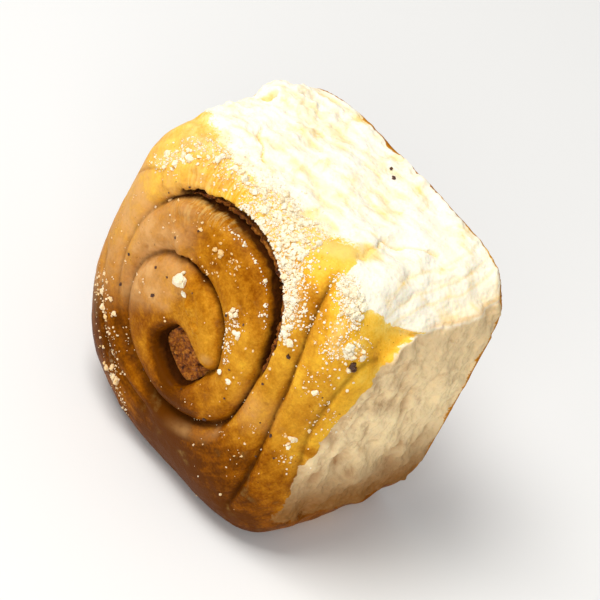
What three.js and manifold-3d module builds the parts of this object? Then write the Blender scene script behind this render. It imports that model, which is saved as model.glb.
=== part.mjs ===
// A cinnamon bun that was torn from its batch, lying on one of its baked sides.
// It is shaped with its flat underside on z = 0 and its swirl facing up, and then turned, so
// that the swirl faces -Y. All lengths are millimetres and all angles degrees.

import * as THREE from 'three';
import { mergeVertices } from 'three/addons/utils/BufferGeometryUtils.js';
import Module from 'manifold-3d';

const wasm = await Module();
wasm.setup();

// Body: the left and down sides baked against the tin, the right and up sides are torn open
const base = { left: 50, right: 44, down: 51, up: 44 };
const shoulder = { left: 52, right: 42, down: 53, up: 42.5 };
const cornerPower = { baked: 2.6, torn: 5, mixed: 5.5 };
const topHeight = 67;
const aboveTop = 77;
const shoulderHeight = 44;
const bakedShoulderRise = 4;
const bakedBulge = 3;
const restingDepth = 51.5;
const boxMiddle = { x: -4.5, z: 33.78 };
const domeCentre = { x: -6, y: -6 };
const domePower = { torn: 2.6, baked: 4 };
const domeRoot = { torn: 2, baked: 2.6 };
const bakedDirection = 225;
const facets = { around: 84, base: 3, wall: 10, top: 27, edgeCrowding: 0.9 };

// Swirl: one crease that leaves the pit in the middle and winds out to the open gap. Its way and
// the gap's width are pairs of degrees of winding and millimetres, evened out over some degrees.
const swirlCentre = { x: -9, y: 4 };
const crease = { start: -39, end: 622, fade: 18, evening: 7, betweenTurns: 23.6 };
const creaseWay = [
  [-62, 16.5], [-46, 17.2], [-30, 17.6], [-21, 17], [-7, 14.6], [8, 13.5], [25, 13], [45, 12.7],
  [65, 12.4], [85, 12.5], [105, 13.4], [120, 14.8], [135, 16.3], [152, 18], [168, 19.6], [188, 22.6],
  [202, 24.2], [220, 26], [240, 28.4], [270, 30.9], [290, 31.8], [305, 32.3], [316, 32.5], [326, 31.4],
  [335, 29.6], [345, 28], [356, 27.1], [367, 27], [378, 27.6], [387, 28.5], [397, 29.4], [407, 29.9],
  [420, 30], [432, 29.7], [445, 29.3], [455, 29.6], [468, 30.6], [480, 31.8], [490, 32.2], [504, 30.8],
  [523, 29.3], [551, 28.8], [572, 29.2], [600, 30.6], [622, 31.4],
];
const creaseRelief = { depth: 3.2, width: 5, lipWidth: 3, faintFrom: 490, faintTo: 530, faint: 0.45 };
const gap = { from: 362, to: 492, width: 3.5, floor: 42 };
const gapWay = [
  [362, 0], [372, 0.9], [382, 1.7], [391, 2.4], [398, 3.1], [404, 3.5], [411, 3.2], [418, 2.7],
  [428, 2.3], [440, 2.4], [452, 2.2], [462, 1.9], [472, 1.5], [482, 1], [492, 0],
];
const gapLip = { drop: 1.5, reach: 8 };
const slot = { from: -62, taperFrom: 488, to: 510, width: 1.8, tip: 0.3, floor: 8, step: 6 };
const outerCreases = [
  { from: -44, to: 46, radius: 36.4, bowBefore: 16, bowAfter: 7.4, depth: 2.2, width: 4 },
  { from: -26, to: 22, radius: 46, bowBefore: 7.7, bowAfter: 5.5, depth: 1.3, width: 3 },
  { from: 200, to: 268, radius: 37.6, bowBefore: 0, bowAfter: 0, depth: 1.1, width: 3 },
];
const outerCreaseFade = 10;

// Pit: the open middle of the roll, a rounded square, with the filling at its bottom
const pit = { x: -5.6, y: -10.2, along: 8, across: 7, turn: -28, power: 3.4, depth: 6.5 };
const pitRim = { depth: 1.8, width: 3.5 };

// Filling: a thin spiral layer that runs down through the dough
const clearance = 0.3;
const filling = { recess: 1.4, gapRecess: 3.4, pitDepth: 9 };

// Torn sides: soft crags of pulled dough, a dent, and a flap of crumb that stands proud
const torn = { from: -46, to: 144, fade: 7, height: 47, heightFade: 4, relief: 1.25 };
const dent = { x: 19, z: 25, reachX: 6, reachZ: 9, depth: 2.2 };
const flap = { from: 14, to: 38, bottom: 34, top: 48, lift: 1.3, fadeAlong: 2, fadeUp: 5 };
const tornCorner = { from: 38, to: 48 };
const cornerFlat = { direction: 39, base: 56, upper: 47.2, upperFrom: 36, softness: 1.5 };
const puffs = [
  { x: -40, z: 39, reach: 10, lift: 2.2 },
  { x: -44, z: 14, reach: 14, lift: 3.4 },
  { x: -12, z: 26, reach: 13, lift: 1.1 },
];

// Coarse sugar crumbs: how many lie in each patch, by angle about the middle and by level on
// the turned profile, which is 1 at the shoulder and 2 at the top's middle
const crumbPatches = [
  { count: 26, angles: [52, 132], levels: [1.04, 1.3] },
  { count: 10, angles: [34, 54], levels: [1.02, 1.24] },
  { count: 8, angles: [192, 248], levels: [1.2, 1.42] },
  { count: 4, angles: [128, 146], levels: [1.15, 1.4] },
  { count: 5, angles: [0, 45], levels: [1.6, 1.78] },
  { count: 4, angles: [105, 150], levels: [1.45, 1.62] },
];
const bigCrumb = { angle: 114, level: 1.73, radius: 2 };
const crumbRadius = { smallest: 0.8, largest: 1.5 };
const crumbStretch = [0.8, 1.15];
const crumbSeed = 7;

const colours = { crust: 0xc98a3c, filling: 0x4a2412 };

const radians = THREE.MathUtils.degToRad;
const degrees = THREE.MathUtils.radToDeg;
const blend = THREE.MathUtils.lerp;
const ramp = (value, from, to) => THREE.MathUtils.smoothstep(value, from, to);
const angleOf = (x, y) => degrees(Math.atan2(y, x));

// 1 from one value to the other, falling to 0 over a fade outside them
function within(value, from, to, fade) {
  return ramp(value, from - fade, from) * (1 - ramp(value, to, to + fade));
}

// 1 in the middle of a hump and 0 past its reach
function hump(distance, reach) {
  const share = Math.min(1, Math.abs(distance) / reach);
  return (1 - share * share) ** 2;
}

// 1 toward the baked corner and 0 toward the torn one
function bakedShare(angle) {
  return 0.5 + 0.5 * Math.cos(radians(angle - bakedDirection));
}

// Distance of the plan outline from the middle, from the base, share 0, to the shoulder, share 1
function outline(angle, share) {
  const c = Math.cos(radians(angle));
  const s = Math.sin(radians(angle));
  const sideX = c > 0 ? 'right' : 'left';
  const sideY = s > 0 ? 'up' : 'down';
  const halfX = blend(base[sideX], shoulder[sideX], share);
  const halfY = blend(base[sideY], shoulder[sideY], share);
  let power = cornerPower.mixed;
  if (c > 0 && s > 0) power = cornerPower.torn;
  if (c < 0 && s < 0) power = cornerPower.baked;
  const radius = (Math.abs(c / halfX) ** power + Math.abs(s / halfY) ** power) ** (-1 / power);
  return radius + bakedBulge * Math.sin(Math.PI * share) * bakedShare(angle);
}

function shoulderAt(angle) {
  return shoulderHeight + bakedShoulderRise * bakedShare(angle);
}

// Height of the domed top where a ring, share 1 at the shoulder, passes an angle
function domeHeight(angle, ring) {
  const power = blend(domePower.torn, domePower.baked, bakedShare(angle));
  const root = blend(domeRoot.torn, domeRoot.baked, bakedShare(angle));
  const foot = shoulderAt(angle);
  return foot + (topHeight - foot) * Math.max(0, 1 - ring ** power) ** (1 / root);
}

// Height of the plain dome over a plan point, found by halving the range of rings
function topOver(x, y) {
  let low = 0;
  let high = 1;
  let angle = 0;
  for (let halving = 0; halving < 24; halving += 1) {
    const ring = (low + high) / 2;
    const dx = x - domeCentre.x * (1 - ring);
    const dy = y - domeCentre.y * (1 - ring);
    angle = angleOf(dx, dy);
    if (Math.hypot(dx, dy) > ring * outline(angle, 1)) low = ring;
    else high = ring;
  }
  return domeHeight(angle, low);
}

// The value of a way at some degrees of winding, in straight pieces between its pairs
function wayAt(way, turn) {
  const next = way.findIndex(([at]) => at > turn);
  if (next === 0) return way[0][1];
  if (next < 0) return way[way.length - 1][1];
  const [[start, from], [end, to]] = [way[next - 1], way[next]];
  return blend(from, to, (turn - start) / (end - start));
}

function evened(way, turn) {
  const { evening } = crease;
  return (wayAt(way, turn - evening) + 2 * wayAt(way, turn) + wayAt(way, turn + evening)) / 4;
}

// Radius of the swirl's crease after so many degrees of winding; the open gap lies outside it
const creaseRadius = (turn) => evened(creaseWay, turn);

// Extra width of the open gap after so many degrees of winding
const gapWidth = (turn) => evened(gapWay, turn);

// A groove with rounded shoulders that meet in a sharp line
function groove(distance, width) {
  return Math.max(0, 1 - Math.abs(distance) / width) ** 2;
}

// How far the surface sinks toward the creases at a plan point
function creaseSink(x, y) {
  const dx = x - swirlCentre.x;
  const dy = y - swirlCentre.y;
  const radius = Math.hypot(dx, dy);
  const angle = angleOf(dx, dy);
  let sink = 0;
  for (let turn = angle; turn < crease.end + crease.fade; turn += 360) {
    const along = within(turn, crease.start, crease.end, crease.fade);
    const faint = blend(1, creaseRelief.faint, ramp(turn, creaseRelief.faintFrom, creaseRelief.faintTo));
    const open = gapWidth(turn) / gap.width;
    const distance = radius - creaseRadius(turn);
    const width = distance > 0 ? blend(creaseRelief.width, creaseRelief.lipWidth, open) : creaseRelief.width;
    sink += along * faint * creaseRelief.depth * groove(distance, width);
    if (distance > 0) sink += open * gapLip.drop * hump(distance, gapLip.reach);
  }
  for (const one of outerCreases) {
    const middle = (one.from + one.to) / 2;
    const turned = angle < one.from - outerCreaseFade ? angle + 360 : angle;
    const share = (turned - middle) / ((one.to - one.from) / 2);
    const along = within(turned, one.from, one.to, outerCreaseFade);
    const bow = share < 0 ? one.bowBefore : one.bowAfter;
    sink += along * one.depth * groove(radius - one.radius - bow * share * share, one.width);
  }
  return sink + pitRim.depth * groove(Math.max(0, pitDistance(x, y)), pitRim.width);
}

// Distance outside the pit's rim, negative inside it
function pitDistance(x, y) {
  const c = Math.cos(radians(pit.turn));
  const s = Math.sin(radians(pit.turn));
  const along = ((x - pit.x) * c + (y - pit.y) * s) / pit.along;
  const across = ((y - pit.y) * c - (x - pit.x) * s) / pit.across;
  const share = (Math.abs(along) ** pit.power + Math.abs(across) ** pit.power) ** (1 / pit.power);
  return (share - 1) * pit.across;
}

// Soft irregular waves from -1 to 1 over a torn side, by place along it and height
function crags(along, height) {
  const broad = Math.sin(0.23 * along + 1.1 + Math.sin(0.17 * height)) * Math.sin(0.21 * height + 0.6);
  const slanted = Math.sin(0.41 * along - 0.3 * height + 2 * Math.sin(0.11 * along + 0.14 * height));
  const fine = Math.sin(0.58 * height + 0.21 * along) * Math.sin(0.63 * along - 0.17 * height + 0.7);
  return 0.5 * broad + 0.25 * slanted + 0.25 * fine;
}

// How far the torn sides stand out at a point of the wall
function tornLift(angle, x, y, z) {
  const share = within(angle, torn.from, torn.to, torn.fade)
    * (1 - ramp(z, torn.height - torn.heightFade, torn.height + torn.heightFade)) * ramp(z, 0, 3);
  const upper = ramp(angle, tornCorner.from, tornCorner.to);
  let lift = torn.relief * crags(blend(y, x, upper), z);
  lift -= upper * dent.depth * hump(x - dent.x, dent.reachX) * hump(z - dent.z, dent.reachZ);
  const flapAlong = within(x, flap.from, flap.to, flap.fadeAlong);
  lift += upper * flap.lift * flapAlong * within(z, flap.bottom, flap.top, flap.fadeUp);
  for (const one of puffs) {
    lift += upper * one.lift * hump(Math.hypot(x - one.x, z - one.z), one.reach);
  }
  return share * lift;
}

// How far the slanting flat between the two torn sides cuts in, more toward the swirl
function cornerCut(x, y, z) {
  const c = Math.cos(radians(cornerFlat.direction));
  const s = Math.sin(radians(cornerFlat.direction));
  const flatAt = blend(cornerFlat.base, cornerFlat.upper, Math.min(1, z / cornerFlat.upperFrom));
  const beyond = (x * c + y * s - flatAt) / cornerFlat.softness;
  return cornerFlat.softness * Math.log(1 + Math.exp(beyond));
}

// Share of the outline that a ring of the top has, closer spaced toward the shoulder
function ringAt(level) {
  return Math.sin(0.5 * Math.PI * (2 - level)) ** facets.edgeCrowding;
}

// Place on the bun of a point of the turned profile: the profile's radius runs over the base,
// and its level runs up the wall from 0 to 1 and over the top from 1 to 2
function placeOnBun(angle, radius, level) {
  const c = Math.cos(radians(angle));
  const s = Math.sin(radians(angle));
  const share = Math.min(1, level);
  const reach = outline(angle, share);
  if (level <= 0) return new THREE.Vector3(radius * reach * c, radius * reach * s, 0);
  if (level <= 1) {
    const height = share * shoulderAt(angle);
    const lift = tornLift(angle, reach * c, reach * s, height) - cornerCut(reach * c, reach * s, height);
    const out = reach + lift;
    return new THREE.Vector3(out * c, out * s, height);
  }
  const ring = ringAt(level);
  const out = ring * reach;
  const x = domeCentre.x * (1 - ring) + out * c;
  const y = domeCentre.y * (1 - ring) + out * s;
  const height = domeHeight(angle, ring);
  const lift = ramp(ring, 0.8, 1) * (tornLift(angle, x, y, height) - cornerCut(x, y, height));
  return new THREE.Vector3(x + lift * c, y + lift * s, height - creaseSink(x, y));
}

// The profile that is turned into the body, from the middle of the base to the top's middle
function profile() {
  const points = [];
  for (let row = 0; row < facets.base; row += 1) {
    points.push(new THREE.Vector2(row / facets.base, 0));
  }
  for (let row = 0; row < facets.wall; row += 1) points.push(new THREE.Vector2(1, row / facets.wall));
  for (let row = 0; row <= facets.top; row += 1) {
    const level = 1 + row / facets.top;
    points.push(new THREE.Vector2(row < facets.top ? ringAt(level) : 0, level));
  }
  return points;
}

function bodyGeometry() {
  const geometry = new THREE.LatheGeometry(profile(), facets.around);
  const position = geometry.attributes.position;
  for (let i = 0; i < position.count; i += 1) {
    const x = position.getX(i);
    const z = position.getZ(i);
    const radius = Math.hypot(x, z);
    const angle = radius > 1e-6 ? angleOf(x, -z) : 0;
    const point = placeOnBun(angle, radius, position.getY(i));
    position.setXYZ(i, point.x, Math.max(point.y, -restingDepth), point.z);
  }
  return geometry;
}

// The plan outline of a band along the crease, given the distances of its two edges
function creaseBand(from, to, innerEdge, outerEdge) {
  const inner = [];
  const outer = [];
  const steps = Math.ceil((to - from) / slot.step);
  for (let step = 0; step <= steps; step += 1) {
    const turn = blend(from, to, step / steps);
    const radius = creaseRadius(turn);
    const c = Math.cos(radians(turn));
    const s = Math.sin(radians(turn));
    const near = radius + innerEdge(turn);
    const far = radius + outerEdge(turn);
    inner.push(new THREE.Vector2(swirlCentre.x + near * c, swirlCentre.y + near * s));
    outer.push(new THREE.Vector2(swirlCentre.x + far * c, swirlCentre.y + far * s));
  }
  return new THREE.Shape([...outer, ...inner.reverse()]);
}

function pitShape(shrink) {
  const points = [];
  for (let angle = 0; angle < 360; angle += 15) {
    const c = Math.cos(radians(angle));
    const s = Math.sin(radians(angle));
    const share = (Math.abs(c) ** pit.power + Math.abs(s) ** pit.power) ** (-1 / pit.power);
    const point = new THREE.Vector2((pit.along - shrink) * share * c, (pit.across - shrink) * share * s);
    point.rotateAround(new THREE.Vector2(), radians(pit.turn));
    points.push(point.add(new THREE.Vector2(pit.x, pit.y)));
  }
  return new THREE.Shape(points);
}

// An upright prism, whose top may follow a function of the plan point
function prism(shape, bottom, top) {
  const flat = typeof top === 'number';
  const height = flat ? top - bottom : 1;
  const geometry = new THREE.ExtrudeGeometry(shape, { depth: height, bevelEnabled: false });
  geometry.translate(0, 0, bottom);
  if (flat) return geometry;
  const position = geometry.attributes.position;
  for (let i = 0; i < position.count; i += 1) {
    if (position.getZ(i) > bottom + height / 2) position.setZ(i, top(position.getX(i), position.getY(i)));
  }
  return geometry;
}

function toSolid(geometry) {
  const bare = geometry.clone();
  bare.deleteAttribute('normal');
  bare.deleteAttribute('uv');
  const merged = mergeVertices(bare, 1e-4);
  const corners = merged.index.array;
  const kept = [];
  for (let i = 0; i < corners.length; i += 3) {
    const [a, b, c] = [corners[i], corners[i + 1], corners[i + 2]];
    if (a !== b && b !== c && c !== a) kept.push(a, b, c);
  }
  const vertProperties = new Float32Array(merged.attributes.position.array);
  return new wasm.Manifold(new wasm.Mesh({ numProp: 3, vertProperties, triVerts: new Uint32Array(kept) }));
}

function toGeometry(solid) {
  const mesh = solid.getMesh();
  const geometry = new THREE.BufferGeometry();
  geometry.setAttribute('position', new THREE.BufferAttribute(mesh.vertProperties, 3));
  geometry.setIndex(new THREE.BufferAttribute(mesh.triVerts, 1));
  geometry.computeVertexNormals();
  return geometry;
}

function spiralSlot() {
  const half = (turn) => 0.5 * blend(slot.width, slot.tip, ramp(turn, slot.taperFrom, slot.to));
  const shape = creaseBand(slot.from, slot.to, (turn) => -half(turn), half);
  return prism(shape, slot.floor, aboveTop);
}

function openGap() {
  const inner = () => -slot.width / 4;
  const outer = (turn) => slot.width / 4 + gapWidth(turn);
  return prism(creaseBand(gap.from, gap.to, inner, outer), gap.floor, aboveTop);
}

function pitHollow() {
  return prism(pitShape(0), topHeight - pit.depth - filling.pitDepth, aboveTop);
}

// A coarse crumb: a lump with uneven sides, about half sunk into the crust
function crumb(point, radius, random) {
  const lump = new THREE.IcosahedronGeometry(radius, 0);
  const [least, most] = crumbStretch;
  lump.scale(blend(least, most, random()), blend(least, most, random()), blend(least, most, random()));
  lump.rotateX(Math.PI * random());
  lump.rotateZ(Math.PI * random());
  lump.translate(point.x, point.y, point.z);
  return toSolid(lump);
}

function clearOfCrease(point, radius) {
  const dx = point.x - swirlCentre.x;
  const dy = point.y - swirlCentre.y;
  if (pitDistance(point.x, point.y) < radius + 0.5) return false;
  for (let turn = angleOf(dx, dy); turn < slot.to; turn += 360) {
    const distance = Math.hypot(dx, dy) - creaseRadius(turn);
    const near = slot.width / 2 + radius;
    if (distance > -near && distance < near + gapWidth(turn)) return false;
  }
  return true;
}

function crumbs() {
  let state = crumbSeed;
  const random = () => {
    state = (state * 16807) % 2147483647;
    return state / 2147483647;
  };
  const solids = [crumb(placeOnBun(bigCrumb.angle, 0, bigCrumb.level), bigCrumb.radius, random)];
  for (const patch of crumbPatches) {
    for (let i = 0; i < patch.count; i += 1) {
      const radius = blend(crumbRadius.smallest, crumbRadius.largest, random() ** 2);
      const angle = blend(patch.angles[0], patch.angles[1], (i + random()) / patch.count);
      const level = blend(patch.levels[0], patch.levels[1], random());
      const point = placeOnBun(angle, 0, level);
      if (clearOfCrease(point, radius)) solids.push(crumb(point, radius, random));
    }
  }
  return solids;
}

function dough() {
  let solid = toSolid(bodyGeometry());
  for (const hollow of [spiralSlot(), openGap(), pitHollow()]) solid = solid.subtract(toSolid(hollow));
  for (const lump of crumbs()) solid = solid.add(lump);
  const material = new THREE.MeshStandardMaterial({ color: colours.crust, roughness: 0.6, metalness: 0 });
  const mesh = new THREE.Mesh(toGeometry(solid), material);
  mesh.name = 'dough';
  return mesh;
}

// The layer follows the crease's inner wall, sunk below the crust and deeper in the open gap
function fillingLayer() {
  const inner = () => -slot.width / 2 + clearance;
  const outer = () => slot.width / 2 - clearance;
  const shape = creaseBand(slot.from + 2, slot.taperFrom, inner, outer);
  const top = (x, y) => {
    const turn = angleOf(x - swirlCentre.x, y - swirlCentre.y) + 360;
    const outerTurn = Math.hypot(x - swirlCentre.x, y - swirlCentre.y) > crease.betweenTurns;
    const open = outerTurn ? gapWidth(turn) / gap.width : 0;
    return topOver(x, y) - creaseSink(x, y) - blend(filling.recess, filling.gapRecess, open);
  };
  return prism(shape, slot.floor + clearance, top);
}

function fillingMesh() {
  const floor = topHeight - pit.depth - filling.pitDepth + clearance;
  const plug = prism(pitShape(clearance), floor, topHeight - pit.depth);
  const solid = toSolid(fillingLayer()).add(toSolid(plug));
  const material = new THREE.MeshStandardMaterial({ color: colours.filling, roughness: 0.9, metalness: 0 });
  const mesh = new THREE.Mesh(toGeometry(solid), material);
  mesh.name = 'filling';
  return mesh;
}

// Turned onto the baked side and centred over the point where it rests
const bun = new THREE.Group();
bun.rotation.x = Math.PI / 2;
bun.position.set(-boxMiddle.x, boxMiddle.z, restingDepth);
bun.add(dough(), fillingMesh());

export default bun;
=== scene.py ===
import bpy
import numpy as np
from mathutils import Matrix, Vector, noise
from mathutils.bvhtree import BVHTree


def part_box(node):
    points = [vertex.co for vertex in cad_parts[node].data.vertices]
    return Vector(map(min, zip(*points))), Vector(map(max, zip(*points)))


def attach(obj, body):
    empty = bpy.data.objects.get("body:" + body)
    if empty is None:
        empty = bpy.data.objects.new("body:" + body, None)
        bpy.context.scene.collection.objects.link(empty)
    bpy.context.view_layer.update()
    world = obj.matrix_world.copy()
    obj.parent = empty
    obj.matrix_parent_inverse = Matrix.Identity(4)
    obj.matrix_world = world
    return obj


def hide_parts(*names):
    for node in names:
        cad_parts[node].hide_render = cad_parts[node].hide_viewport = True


# A cinnamon bun torn from its batch. Its own frame, in millimetres: x right, y toward the torn
# top, z out of the swirl, with the flat underside on z = 0. The shapes repeat the CAD's values.
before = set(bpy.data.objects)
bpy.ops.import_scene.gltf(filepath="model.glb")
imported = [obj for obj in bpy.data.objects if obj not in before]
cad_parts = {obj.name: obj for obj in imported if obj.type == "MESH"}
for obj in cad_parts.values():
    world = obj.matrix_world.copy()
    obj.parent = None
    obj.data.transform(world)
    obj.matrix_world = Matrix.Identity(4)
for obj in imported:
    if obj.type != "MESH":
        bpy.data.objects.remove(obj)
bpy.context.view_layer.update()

MILLIMETRE = 0.001
MIDDLE = (4.5, 33.78, 51.5)

BASE = {"left": 50.0, "right": 44.0, "down": 51.0, "up": 44.0}
SHOULDER = {"left": 52.0, "right": 42.0, "down": 53.0, "up": 42.5}
CORNER_POWER = {"baked": 2.6, "torn": 5.0, "mixed": 5.5}
TOP_HEIGHT = 67.0
SHOULDER_HEIGHT = 44.0
BAKED_SHOULDER_RISE = 4.0
BAKED_BULGE = 3.0
RESTING_DEPTH = 51.5
DOME_CENTRE = (-6.0, -6.0)
DOME_POWER = {"torn": 2.6, "baked": 4.0}
DOME_ROOT = {"torn": 2.0, "baked": 2.6}
BAKED_DIRECTION = 225.0

SWIRL_CENTRE = (-9.0, 4.0)
DOME_RADIUS = 37.0
CREASE_END = {"start": -39.0, "end": 622.0, "fade": 18.0}
EVENING = 7.0
# Radius of the swirl's crease about the swirl's middle, by degrees of winding
CREASE_TURNS = (-62, -46, -30, -21, -7, 8, 25, 45, 65, 85, 105, 120, 135, 152, 168, 188, 202, 220, 240,
                270, 290, 305, 316, 326, 335, 345, 356, 367, 378, 387, 397, 407, 420, 432, 445, 455,
                468, 480, 490, 504, 523, 551, 572, 600, 622)
CREASE_RADII = (16.5, 17.2, 17.6, 17, 14.6, 13.5, 13, 12.7, 12.4, 12.5, 13.4, 14.8, 16.3, 18, 19.6,
                22.6, 24.2, 26, 28.4, 30.9, 31.8, 32.3, 32.5, 31.4, 29.6, 28, 27.1, 27, 27.6, 28.5,
                29.4, 29.9, 30, 29.7, 29.3, 29.6, 30.6, 31.8, 32.2, 30.8, 29.3, 28.8, 29.2, 30.6, 31.4)
CREASE_RELIEF = {"depth": 3.2, "width": 5.0, "lip_width": 3.0}
FAINT_CREASE = {"from": 490.0, "to": 530.0, "share": 0.45}
GAP_WIDEST = 3.5
GAP_TURNS = (362, 372, 382, 391, 398, 404, 411, 418, 428, 440, 452, 462, 472, 482, 492)
GAP_WIDTHS = (0, 0.9, 1.7, 2.4, 3.1, 3.5, 3.2, 2.7, 2.3, 2.4, 2.2, 1.9, 1.5, 1, 0)
GAP_LIP = {"drop": 1.5, "reach": 8.0}
# The creases outside the coil: degrees about the swirl, how the ends bow out, and the sharp line's depth
OUTER_CREASES = (
    {"from": -44, "to": 46, "radius": 36.4, "before": 16.0, "after": 7.4,
     "depth": 2.2, "width": 4.0, "line": 1.9},
    {"from": -26, "to": 22, "radius": 46.0, "before": 7.7, "after": 5.5,
     "depth": 1.3, "width": 3.0, "line": 1.2},
    {"from": 200, "to": 268, "radius": 37.6, "before": 0.0, "after": 0.0,
     "depth": 1.1, "width": 3.0, "line": 0.6},
)
OUTER_CREASE_FADE = 10.0
WINDINGS = (0.0, 360.0, 720.0)

PIT = {"x": -5.6, "y": -10.2, "along": 8.0, "across": 7.0, "turn": -28.0, "power": 3.4, "depth": 6.5}
PIT_RIM = {"depth": 1.8, "width": 3.5}

TORN = {"from": -46.0, "to": 144.0, "fade": 7.0, "height": 47.0, "height_fade": 4.0, "relief": 1.25}
DENT = {"x": 19.0, "z": 25.0, "reach_x": 6.0, "reach_z": 9.0, "depth": 2.2}
FLAP = {"from": 14.0, "to": 38.0, "bottom": 34.0, "top": 48.0, "lift": 1.3}
FLAP_FADE = {"along": 2.0, "up": 5.0}
TORN_CORNER = (38.0, 48.0)
CORNER_FLAT = {"direction": 39.0, "base": 56.0, "upper": 47.2, "upper_from": 36.0, "softness": 1.5}
PUFFS = (
    {"x": -40.0, "z": 39.0, "reach": 10.0, "lift": 2.2},
    {"x": -44.0, "z": 14.0, "reach": 14.0, "lift": 3.4},
    {"x": -12.0, "z": 26.0, "reach": 13.0, "lift": 1.1},
)

# Height of the line where the crust ends and the torn crumb begins, by angle about the bun
TEAR_ANGLES = (-46, -25, -11, 0, 16, 26, 33, 35, 36.8, 38, 39.5, 43, 47.7, 50.5, 52.5, 58, 63, 67, 70,
               75, 80, 88, 95, 101, 110, 116, 127, 133, 139, 144)
TEAR_HEIGHTS = (54, 53.5, 51.8, 50.2, 48, 45.6, 41.5, 38.5, 34.5, 30, 33.5, 40.3, 43.4, 46, 50.2, 50.6,
                49, 43, 40, 40.5, 44, 47.5, 48, 48, 49.5, 50.5, 49.5, 46.5, 42, 38)
TEAR_UNEVENNESS = 1.6

# Depth of the sharp line at the bottom of the crease, by degrees of winding
CUT_TURNS = (-62, -39, 0, 120, 160, 215, 262, 290, 340, 372, 495, 512, 560, 640)
CUT_DEPTHS = (2.5, 2.6, 3.0, 3.0, 2.0, 0.7, 0.9, 4.2, 3.6, 3.4, 3.2, 1.2, 0.9, 0.0)
CUT_WIDTH = 1.25
GAP_DEPTH = 14.0
GAP_INNER_EDGE = (-0.9, -0.1)
GAP_OUTER_EDGE = (0.9, 1.7)

# How brown the swirl's crust is, from the baked side, y low, to the torn top, y high; partly painted
# shade low down
BROWNING_PLACES = (-48.0, -38.0, -28.0, -14.0, 0.0, 15.0, 30.0, 36.0, 42.0)
BROWNING_AND_SHADE_LEVELS = (1.12, 1.08, 1.0, 0.8, 0.66, 0.65, 0.6, 0.5, 0.42)

# Browner and paler spots of the swirl's crust: x, y, reach and change
BROWNING_SPOTS = (
    (21.5, 35.0, 9.0, 0.25), (38.9, -8.2, 3.2, 0.22), (33.7, 17.2, 6.0, 0.08), (40.0, 20.7, 4.5, -0.13),
    (38.0, -20.0, 4.0, 0.12), (37.5, 31.0, 5.0, -0.12),
)
# Paler parts of the swirl's crust: where each begins and is full along x and along y, and the change
BROWNING_CORNERS = (
    {"x": (-24.0, -42.0), "y": (-5.0, 20.0), "change": -0.2},
    {"x": (0.0, -18.0), "y": (-2.0, -18.0), "change": -0.1},
    {"x": (-30.0, -42.0), "y": (-24.0, -8.0), "change": -0.07},
    {"x": (6.0, -16.0), "y": (-18.0, -30.0), "change": -0.1},
)
WALL_BROWNING = 0.72
UNDERSIDE_BROWNING = 0.74

# How much painted shade darkens the torn side facing the viewer, by y: most at its lower end, a little at
# its top
PAINTED_SHADE_PLACES = (-34.0, -27.0, -12.0, 2.0, 14.0, 30.0)
PAINTED_SHADE_SHARES = (1.0, 0.85, 0.1, 0.0, 0.14, 0.26)

BLOCK_CUTS = (69, 1)
FIRST_VOXEL = 0.66
FINE_VOXEL = 0.58
MOST_TRIANGLES = 196000


def blend(first, second, share):
    return first + (second - first) * share


def ramp(value, start, end):
    share = np.clip((value - start) / (end - start), 0.0, 1.0)
    return share * share * (3.0 - 2.0 * share)


def within(value, start, end, fade):
    return ramp(value, start - fade, start) * (1.0 - ramp(value, end, end + fade))


def hump(distance, reach):
    share = np.minimum(1.0, np.abs(distance) / reach)
    return (1.0 - share * share) ** 2


def groove(distance, width):
    return np.maximum(0.0, 1.0 - np.abs(distance) / width) ** 2


def angle_of(x, y):
    return np.degrees(np.arctan2(y, x))


def direction(angle):
    """Cosine and sine of an angle in degrees."""
    return np.cos(np.radians(angle)), np.sin(np.radians(angle))


def baked_share(angle):
    return 0.5 + 0.5 * np.cos(np.radians(angle - BAKED_DIRECTION))


def outline(angle, share):
    """Distance of the plan outline from the middle, from the base, 0, to the shoulder, 1."""
    c, s = direction(angle)
    half_x = np.where(c > 0, blend(BASE["right"], SHOULDER["right"], share),
                      blend(BASE["left"], SHOULDER["left"], share))
    half_y = np.where(s > 0, blend(BASE["up"], SHOULDER["up"], share),
                      blend(BASE["down"], SHOULDER["down"], share))
    power = np.where((c > 0) & (s > 0), CORNER_POWER["torn"], CORNER_POWER["mixed"])
    power = np.where((c < 0) & (s < 0), CORNER_POWER["baked"], power)
    radius = (np.abs(c / half_x) ** power + np.abs(s / half_y) ** power) ** (-1.0 / power)
    return radius + BAKED_BULGE * np.sin(np.pi * share) * baked_share(angle)


def shoulder_at(angle):
    return SHOULDER_HEIGHT + BAKED_SHOULDER_RISE * baked_share(angle)


def dome_height(angle, ring):
    power = blend(DOME_POWER["torn"], DOME_POWER["baked"], baked_share(angle))
    root = blend(DOME_ROOT["torn"], DOME_ROOT["baked"], baked_share(angle))
    foot = shoulder_at(angle)
    return foot + (TOP_HEIGHT - foot) * np.maximum(0.0, 1.0 - ring ** power) ** (1.0 / root)


def top_over(x, y):
    """Height of the plain dome over plan points, by halving the range of rings."""
    low = np.zeros_like(x)
    high = np.ones_like(x)
    angle = np.zeros_like(x)
    for _ in range(20):
        ring = (low + high) / 2
        dx = x - DOME_CENTRE[0] * (1 - ring)
        dy = y - DOME_CENTRE[1] * (1 - ring)
        angle = angle_of(dx, dy)
        outside = np.hypot(dx, dy) > ring * outline(angle, 1.0)
        low = np.where(outside, ring, low)
        high = np.where(outside, high, ring)
    return dome_height(angle, low)


def evened(turn, turns, values):
    """A value by degrees of winding, evened out over some degrees."""
    sides = np.interp(turn - EVENING, turns, values) + np.interp(turn + EVENING, turns, values)
    return (sides + 2 * np.interp(turn, turns, values)) / 4


def gap_width(turn):
    return evened(turn, GAP_TURNS, GAP_WIDTHS)


def crease_radius(turn):
    """Radius of the swirl's crease; the open gap lies outside it."""
    return evened(turn, CREASE_TURNS, CREASE_RADII)


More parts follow.
